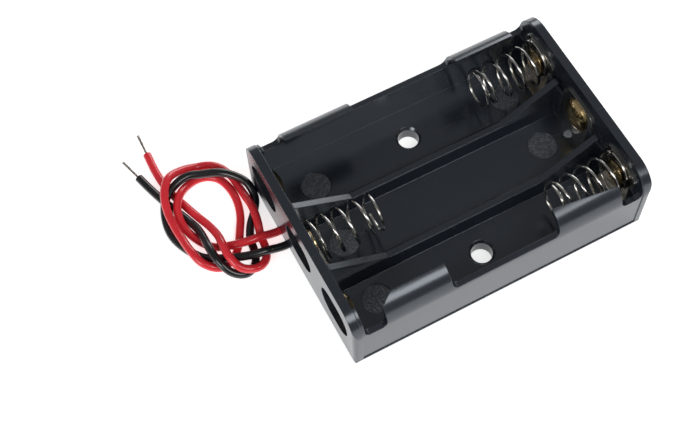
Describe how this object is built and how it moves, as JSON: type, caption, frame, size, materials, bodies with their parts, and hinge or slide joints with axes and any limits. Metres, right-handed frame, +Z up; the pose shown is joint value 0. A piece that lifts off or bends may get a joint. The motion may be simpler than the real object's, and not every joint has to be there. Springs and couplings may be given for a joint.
{
  "type": "battery holder",
  "caption": "Open-topped black battery holder for AAA cells side by side, with coil spring and button contacts, a base cover and a coiled red and black lead pair.",
  "frame": {"origin": "centre of the base cover's underside, without the leads", "axes": "+X along the cells, away from the end that the leads leave; +Y from the finger-scoop side with the high scoop floor to the other side; +Z up, out of the open top"},
  "size_m": [0.0698, 0.0537, 0.0138],
  "materials": {
    "black_plastic": "satin moulded ABS",
    "nickel": "nickel-plated strip",
    "brass": "polished",
    "spring_wire": "bright nickel-plated wire",
    "solder": "tinned",
    "red_pvc": "glossy PVC",
    "black_pvc": "glossy PVC"
  },
  "bodies": {
    "holder": {"case": "black_plastic", "base_cover": "black_plastic", "strap_right": "nickel", "strap_left": "nickel", "terminal_positive": "nickel", "terminal_negative": "nickel", "button_back": "brass", "button_middle": "brass", "button_front": "brass", "spring_rivets": "brass", "spring_back": "spring_wire", "spring_middle": "spring_wire", "spring_front": "spring_wire", "solder_positive": "solder", "solder_negative": "solder", "red_lead_inner": "red_pvc", "black_lead_inner": "black_pvc", "red_lead": "red_pvc", "red_lead_core": "solder", "black_lead": "black_pvc", "black_lead_core": "solder"},
    "tip_back": {"spring_tip_back": "spring_wire"},
    "tip_middle": {"spring_tip_middle": "spring_wire"},
    "tip_front": {"spring_tip_front": "spring_wire"}
  },
  "joints": [
    {"name": "press_back", "type": "slide", "parent": "holder", "child": "tip_back", "axis": [1, 0, 0], "range_m": [0, 0.0088], "stiffness_N_per_m": 400, "deforming": ["spring_back"]},
    {"name": "press_middle", "type": "slide", "parent": "holder", "child": "tip_middle", "axis": [-1, 0, 0], "range_m": [0, 0.0088], "stiffness_N_per_m": 400, "deforming": ["spring_middle"]},
    {"name": "press_front", "type": "slide", "parent": "holder", "child": "tip_front", "axis": [1, 0, 0], "range_m": [0, 0.0088], "stiffness_N_per_m": 400, "deforming": ["spring_front"]}
  ]
}
